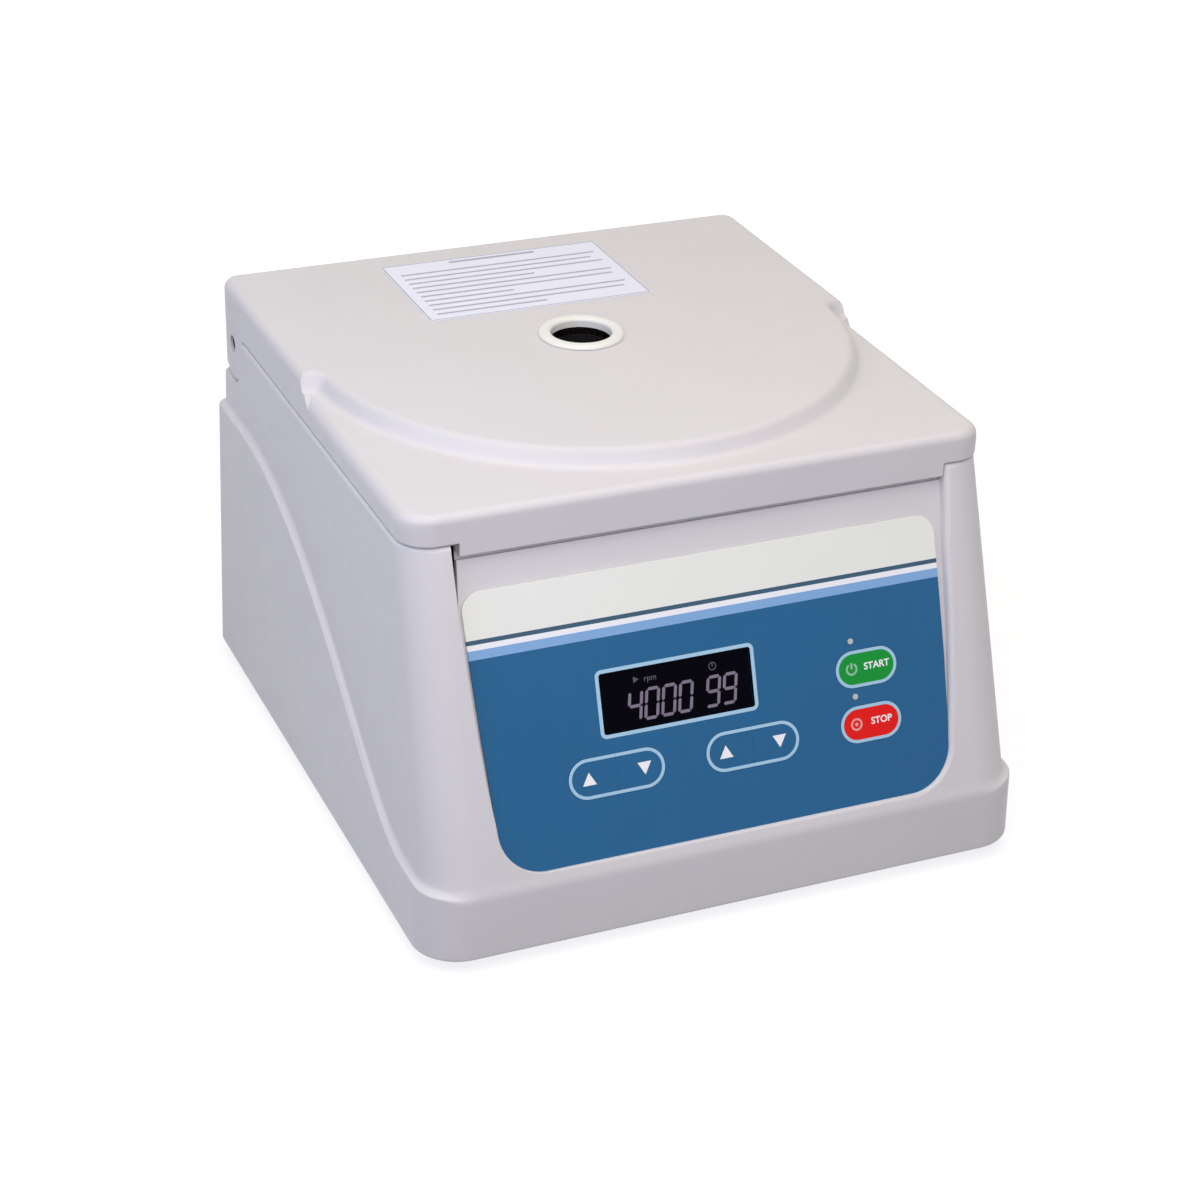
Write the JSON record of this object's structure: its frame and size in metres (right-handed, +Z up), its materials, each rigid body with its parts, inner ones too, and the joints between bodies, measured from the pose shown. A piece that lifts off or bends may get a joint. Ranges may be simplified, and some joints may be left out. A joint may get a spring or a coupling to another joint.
{
  "type": "low-speed centrifuge",
  "caption": "Compact bench centrifuge with a flat hinged lid, a round sight hole, a sloping keypad panel and a fixed-angle rotor for sample tubes.",
  "frame": {"origin": "centre of the footprint at the feet's lowest face", "axes": "+X to the user's right, +Y to the back, +Z up"},
  "size_m": [0.2978, 0.3276, 0.2114],
  "materials": {
    "housing_plastic": "satin moulded ABS, warm light grey",
    "lid_plastic": "satin moulded ABS, warm light grey",
    "liner_plastic": "moulded ABS, plain",
    "ring_plastic": "smooth warm white",
    "lens": "clear",
    "label": "printed film, blank",
    "film_blue": "satin printed film",
    "film_green": "satin printed film",
    "film_red": "satin printed film",
    "display_black": "glossy dark window",
    "module_black": "moulded black",
    "led_lens": "diffused",
    "circuit_board": "solder mask green",
    "rubber_black": "moulded",
    "steel_plate": "zinc-plated sheet",
    "bowl_steel": "spun stainless",
    "rotor_alloy": "machined and anodised",
    "sleeve_steel": "drawn stainless",
    "motor_black": "black enamel",
    "power_black": "moulded black",
    "screw_steel": "zinc-plated"
  },
  "bodies": {
    "housing": {"housing_shell": "housing_plastic", "base_plate": "steel_plate", "foot_1": "rubber_black", "foot_2": "rubber_black", "foot_3": "rubber_black", "foot_4": "rubber_black", "foot_screw_1": "screw_steel", "foot_screw_2": "screw_steel", "foot_screw_3": "screw_steel", "foot_screw_4": "screw_steel", "hinge_pin_left": "screw_steel", "hinge_pin_right": "screw_steel", "chamber_bowl": "bowl_steel", "chamber_gasket": "rubber_black", "motor_bracket": "steel_plate", "motor_housing": "motor_black", "damper_1": "rubber_black", "damper_2": "rubber_black", "damper_3": "rubber_black", "latch_frame": "steel_plate", "latch_solenoid": "module_black", "lid_switch": "module_black", "panel_overlay": "film_blue", "lcd_window": "display_black", "lcd_module": "module_black", "control_board": "circuit_board", "start_led": "led_lens", "stop_led": "led_lens", "power_inlet": "power_black", "switch_bezel": "power_black", "power_board": "circuit_board"},
    "lid": {"lid_shell": "lid_plastic", "lid_liner": "liner_plastic", "sight_ring": "ring_plastic", "sight_lens": "lens", "label_plate": "label", "lid_striker": "steel_plate", "liner_screw_1": "screw_steel", "liner_screw_2": "screw_steel", "liner_screw_3": "screw_steel", "liner_screw_4": "screw_steel"},
    "rotor": {"rotor": "rotor_alloy", "rotor_shaft": "screw_steel", "rotor_nut": "screw_steel"},
    "tube_sleeve_1": {"tube_sleeve_1": "sleeve_steel"},
    "tube_sleeve_2": {"tube_sleeve_2": "sleeve_steel"},
    "tube_sleeve_3": {"tube_sleeve_3": "sleeve_steel"},
    "tube_sleeve_4": {"tube_sleeve_4": "sleeve_steel"},
    "tube_sleeve_5": {"tube_sleeve_5": "sleeve_steel"},
    "tube_sleeve_6": {"tube_sleeve_6": "sleeve_steel"},
    "speed_up_key": {"speed_up_key": "film_blue"},
    "speed_down_key": {"speed_down_key": "film_blue"},
    "time_up_key": {"time_up_key": "film_blue"},
    "time_down_key": {"time_down_key": "film_blue"},
    "start_key": {"start_key": "film_green"},
    "stop_key": {"stop_key": "film_red"},
    "latch_bolt": {"latch_bolt": "steel_plate"},
    "power_rocker": {"power_rocker": "power_black"}
  },
  "joints": [
    {"name": "lid_hinge", "type": "hinge", "parent": "housing", "child": "lid", "pos_m": [0, 0.14526, 0.179], "axis": [-1, 0, 0], "range_deg": [0, 85]},
    {"name": "rotor_spin", "type": "hinge", "parent": "housing", "child": "rotor", "pos_m": [0, 0.032, 0.159], "axis": [0, 0, 1], "continuous": true},
    {"name": "tube_sleeve_1_lift", "type": "slide", "parent": "rotor", "child": "tube_sleeve_1", "axis": [-0.5736, 0, 0.8192], "range_m": [0, 0.012]},
    {"name": "tube_sleeve_2_lift", "type": "slide", "parent": "rotor", "child": "tube_sleeve_2", "axis": [-0.2868, -0.4967, 0.8192], "range_m": [0, 0.012]},
    {"name": "tube_sleeve_3_lift", "type": "slide", "parent": "rotor", "child": "tube_sleeve_3", "axis": [0.2868, -0.4967, 0.8192], "range_m": [0, 0.012]},
    {"name": "tube_sleeve_4_lift", "type": "slide", "parent": "rotor", "child": "tube_sleeve_4", "axis": [0.5736, 0, 0.8192], "range_m": [0, 0.012]},
    {"name": "tube_sleeve_5_lift", "type": "slide", "parent": "rotor", "child": "tube_sleeve_5", "axis": [0.2868, 0.4967, 0.8192], "range_m": [0, 0.012]},
    {"name": "tube_sleeve_6_lift", "type": "slide", "parent": "rotor", "child": "tube_sleeve_6", "axis": [-0.2868, 0.4967, 0.8192], "range_m": [0, 0.012]},
    {"name": "speed_up_key_press", "type": "slide", "parent": "housing", "child": "speed_up_key", "axis": [0, 0.9435, -0.3315], "range_m": [0, 0.0005], "stiffness_N_per_m": 400},
    {"name": "speed_down_key_press", "type": "slide", "parent": "housing", "child": "speed_down_key", "axis": [0, 0.9435, -0.3315], "range_m": [0, 0.0005], "stiffness_N_per_m": 400},
    {"name": "time_up_key_press", "type": "slide", "parent": "housing", "child": "time_up_key", "axis": [0, 0.9435, -0.3315], "range_m": [0, 0.0005], "stiffness_N_per_m": 400},
    {"name": "time_down_key_press", "type": "slide", "parent": "housing", "child": "time_down_key", "axis": [0, 0.9435, -0.3315], "range_m": [0, 0.0005], "stiffness_N_per_m": 400},
    {"name": "start_key_press", "type": "slide", "parent": "housing", "child": "start_key", "axis": [0, 0.9435, -0.3315], "range_m": [0, 0.0005], "stiffness_N_per_m": 400},
    {"name": "stop_key_press", "type": "slide", "parent": "housing", "child": "stop_key", "axis": [0, 0.9435, -0.3315], "range_m": [0, 0.0005], "stiffness_N_per_m": 400},
    {"name": "latch_slide", "type": "slide", "parent": "housing", "child": "latch_bolt", "axis": [-1, 0, 0], "range_m": [0, 0.0065]},
    {"name": "power_rocker_tilt", "type": "hinge", "parent": "housing", "child": "power_rocker", "pos_m": [0.026, 0.15786, 0.049], "axis": [1, 0, 0], "range_deg": [0, 20]}
  ]
}
